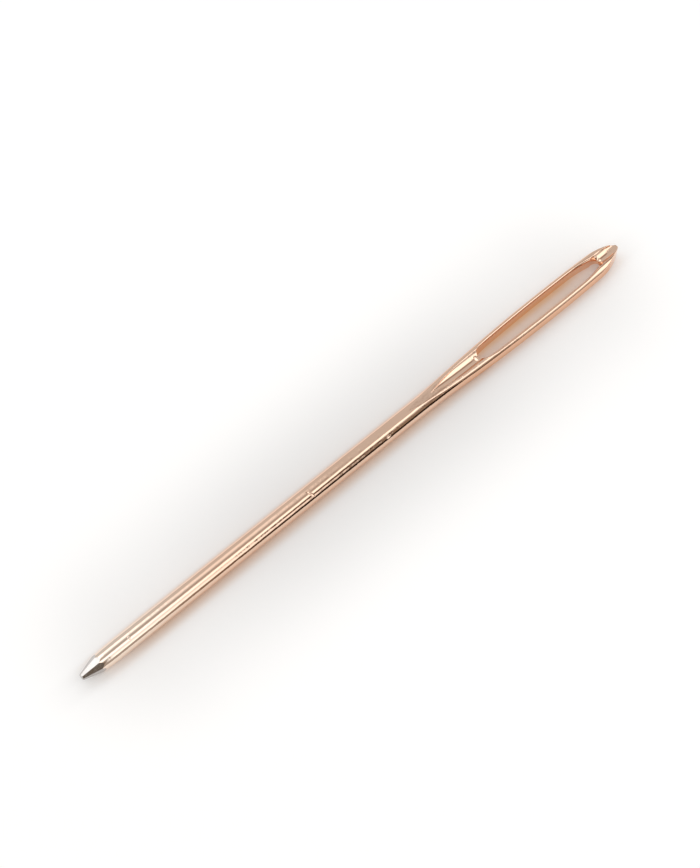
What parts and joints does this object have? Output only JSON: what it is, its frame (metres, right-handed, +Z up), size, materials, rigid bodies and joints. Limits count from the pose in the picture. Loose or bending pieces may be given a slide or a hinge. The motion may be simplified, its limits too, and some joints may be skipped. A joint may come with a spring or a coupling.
{
  "type": "yarn needle",
  "caption": "Blunt yarn needle with a long eye in a flattened head and a gutter into each end of the eye, steel with a thin rose gold coat.",
  "frame": {"origin": "middle of the needle's length and width, on the table that its round shaft lies on", "axes": "+X from the blunt tip to the nose of the head, +Z up through the eye, which is open along Z, and +Y across the head"},
  "size_m": [0.07, 0.0028, 0.0019],
  "materials": {
    "steel": "ground bare at the point, under the coat elsewhere",
    "rose_gold": "polished"
  },
  "bodies": {
    "root": {"coat_of_head": "rose_gold", "coat_of_shaft": "rose_gold", "forged_head": "steel", "wire_shaft": "steel"}
  },
  "joints": []
}
